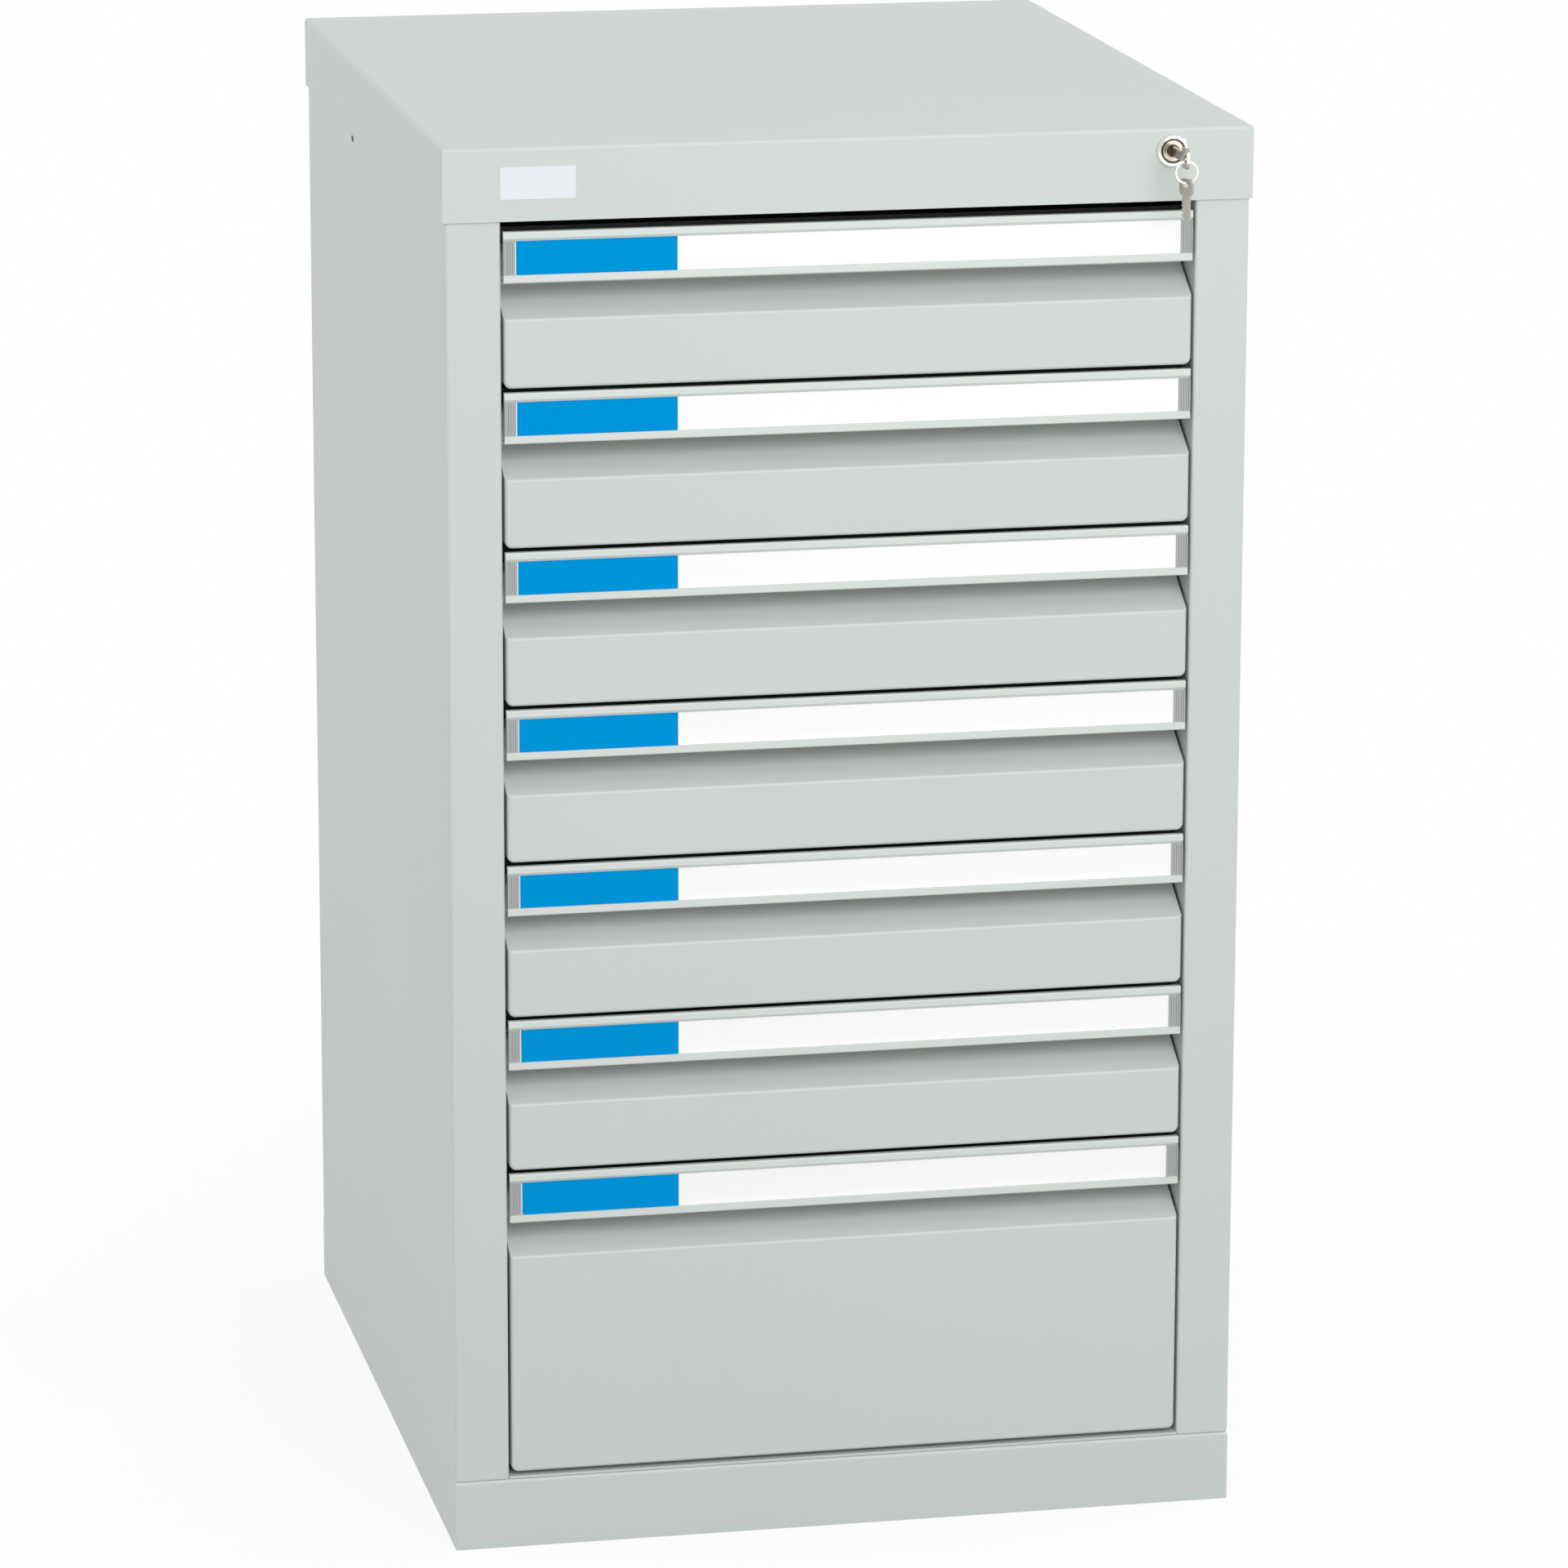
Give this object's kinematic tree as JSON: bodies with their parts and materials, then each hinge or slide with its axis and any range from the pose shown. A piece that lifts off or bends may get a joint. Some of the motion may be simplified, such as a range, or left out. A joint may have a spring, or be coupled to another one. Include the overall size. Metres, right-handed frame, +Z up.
{
  "type": "modular drawer cabinet",
  "caption": "Floor-standing steel drawer cabinet with full-width handle strips, label windows, full-extension drawers and a key-operated central lock.",
  "frame": {"origin": "on the floor, under the middle of the cabinet's footprint", "axes": "+Z up, -Y out of the drawer fronts, +X to the right seen from the front"},
  "size_m": [0.51, 0.6296, 0.9],
  "materials": {
    "powder_coat": "light grey fine-textured powder coat",
    "zinc_steel": "bright zinc plate",
    "lock_chrome": "polished chrome",
    "key_nickel": "nickel plate",
    "strip_profile": "pale powder-coated extrusion",
    "label_card": "white and blue card under a clear film",
    "cap_plastic": "grey moulded plastic"
  },
  "bodies": {
    "cabinet": {"top_cover": "powder_coat", "plinth": "powder_coat", "side_panel_left": "powder_coat", "side_panel_right": "powder_coat", "back_panel": "powder_coat", "back_rivets": "zinc_steel", "floor_panel": "powder_coat", "front_rail": "powder_coat", "slotted_uprights": "zinc_steel", "fixed_rails": "zinc_steel", "lock_housing": "lock_chrome"},
    "drawer_1": {"drawer_1_front": "powder_coat", "drawer_1_handle": "strip_profile", "drawer_1_label_cards": "label_card", "drawer_1_end_caps": "cap_plastic", "drawer_1_tray": "powder_coat"},
    "drawer_1_middle": {"drawer_1_middle_bars": "zinc_steel"},
    "drawer_2": {"drawer_2_front": "powder_coat", "drawer_2_handle": "strip_profile", "drawer_2_label_cards": "label_card", "drawer_2_end_caps": "cap_plastic", "drawer_2_tray": "powder_coat"},
    "drawer_2_middle": {"drawer_2_middle_bars": "zinc_steel"},
    "drawer_3": {"drawer_3_front": "powder_coat", "drawer_3_handle": "strip_profile", "drawer_3_label_cards": "label_card", "drawer_3_end_caps": "cap_plastic", "drawer_3_tray": "powder_coat"},
    "drawer_3_middle": {"drawer_3_middle_bars": "zinc_steel"},
    "drawer_4": {"drawer_4_front": "powder_coat", "drawer_4_handle": "strip_profile", "drawer_4_label_cards": "label_card", "drawer_4_end_caps": "cap_plastic", "drawer_4_tray": "powder_coat"},
    "drawer_4_middle": {"drawer_4_middle_bars": "zinc_steel"},
    "drawer_5": {"drawer_5_front": "powder_coat", "drawer_5_handle": "strip_profile", "drawer_5_label_cards": "label_card", "drawer_5_end_caps": "cap_plastic", "drawer_5_tray": "powder_coat"},
    "drawer_5_middle": {"drawer_5_middle_bars": "zinc_steel"},
    "drawer_6": {"drawer_6_front": "powder_coat", "drawer_6_handle": "strip_profile", "drawer_6_label_cards": "label_card", "drawer_6_end_caps": "cap_plastic", "drawer_6_tray": "powder_coat"},
    "drawer_6_middle": {"drawer_6_middle_bars": "zinc_steel"},
    "drawer_7": {"drawer_7_front": "powder_coat", "drawer_7_handle": "strip_profile", "drawer_7_label_cards": "label_card", "drawer_7_end_caps": "cap_plastic", "drawer_7_tray": "powder_coat"},
    "drawer_7_middle": {"drawer_7_middle_bars": "zinc_steel"},
    "lock_plug": {"lock_plug": "lock_chrome", "lock_cam": "zinc_steel", "key": "key_nickel"},
    "locking_bar": {"locking_bar": "zinc_steel"},
    "key_ring": {"key_ring": "key_nickel"},
    "spare_key": {"spare_key": "key_nickel"}
  },
  "joints": [
    {"name": "drawer_1_slide", "type": "slide", "parent": "cabinet", "child": "drawer_1", "axis": [0, -1, 0], "range_m": [0, 0.46]},
    {"name": "drawer_1_middle_slide", "type": "slide", "parent": "cabinet", "child": "drawer_1_middle", "axis": [0, -1, 0], "range_m": [0, 0.23]},
    {"name": "drawer_2_slide", "type": "slide", "parent": "cabinet", "child": "drawer_2", "axis": [0, -1, 0], "range_m": [0, 0.46]},
    {"name": "drawer_2_middle_slide", "type": "slide", "parent": "cabinet", "child": "drawer_2_middle", "axis": [0, -1, 0], "range_m": [0, 0.23]},
    {"name": "drawer_3_slide", "type": "slide", "parent": "cabinet", "child": "drawer_3", "axis": [0, -1, 0], "range_m": [0, 0.46]},
    {"name": "drawer_3_middle_slide", "type": "slide", "parent": "cabinet", "child": "drawer_3_middle", "axis": [0, -1, 0], "range_m": [0, 0.23]},
    {"name": "drawer_4_slide", "type": "slide", "parent": "cabinet", "child": "drawer_4", "axis": [0, -1, 0], "range_m": [0, 0.46]},
    {"name": "drawer_4_middle_slide", "type": "slide", "parent": "cabinet", "child": "drawer_4_middle", "axis": [0, -1, 0], "range_m": [0, 0.23]},
    {"name": "drawer_5_slide", "type": "slide", "parent": "cabinet", "child": "drawer_5", "axis": [0, -1, 0], "range_m": [0, 0.46]},
    {"name": "drawer_5_middle_slide", "type": "slide", "parent": "cabinet", "child": "drawer_5_middle", "axis": [0, -1, 0], "range_m": [0, 0.23]},
    {"name": "drawer_6_slide", "type": "slide", "parent": "cabinet", "child": "drawer_6", "axis": [0, -1, 0], "range_m": [0, 0.46]},
    {"name": "drawer_6_middle_slide", "type": "slide", "parent": "cabinet", "child": "drawer_6_middle", "axis": [0, -1, 0], "range_m": [0, 0.23]},
    {"name": "drawer_7_slide", "type": "slide", "parent": "cabinet", "child": "drawer_7", "axis": [0, -1, 0], "range_m": [0, 0.46]},
    {"name": "drawer_7_middle_slide", "type": "slide", "parent": "cabinet", "child": "drawer_7_middle", "axis": [0, -1, 0], "range_m": [0, 0.23]},
    {"name": "key_turn", "type": "hinge", "parent": "cabinet", "child": "lock_plug", "pos_m": [0.203, -0.2934, 0.8855], "axis": [0, 1, 0], "range_deg": [0, 90]},
    {"name": "locking_bar_slide", "type": "slide", "parent": "cabinet", "child": "locking_bar", "axis": [0, 0, -1], "range_m": [0, 0.01]},
    {"name": "key_ring_swing", "type": "hinge", "parent": "lock_plug", "child": "key_ring", "pos_m": [0.203, -0.32942, 0.8855], "axis": [1, 0, 0], "range_deg": [-70, 20]},
    {"name": "spare_key_swing", "type": "hinge", "parent": "key_ring", "child": "spare_key", "pos_m": [0.203, -0.32942, 0.8695], "axis": [0.866, 0.5, 0], "range_deg": [-60, 20]}
  ],
  "couplings": [
    {"joint": "drawer_1_middle_slide", "follows": "drawer_1_slide", "ratio": 0.5},
    {"joint": "drawer_2_middle_slide", "follows": "drawer_2_slide", "ratio": 0.5},
    {"joint": "drawer_3_middle_slide", "follows": "drawer_3_slide", "ratio": 0.5},
    {"joint": "drawer_4_middle_slide", "follows": "drawer_4_slide", "ratio": 0.5},
    {"joint": "drawer_5_middle_slide", "follows": "drawer_5_slide", "ratio": 0.5},
    {"joint": "drawer_6_middle_slide", "follows": "drawer_6_slide", "ratio": 0.5},
    {"joint": "drawer_7_middle_slide", "follows": "drawer_7_slide", "ratio": 0.5},
    {"joint": "locking_bar_slide", "follows": "key_turn", "m_per_rad": 0.0063662}
  ]
}
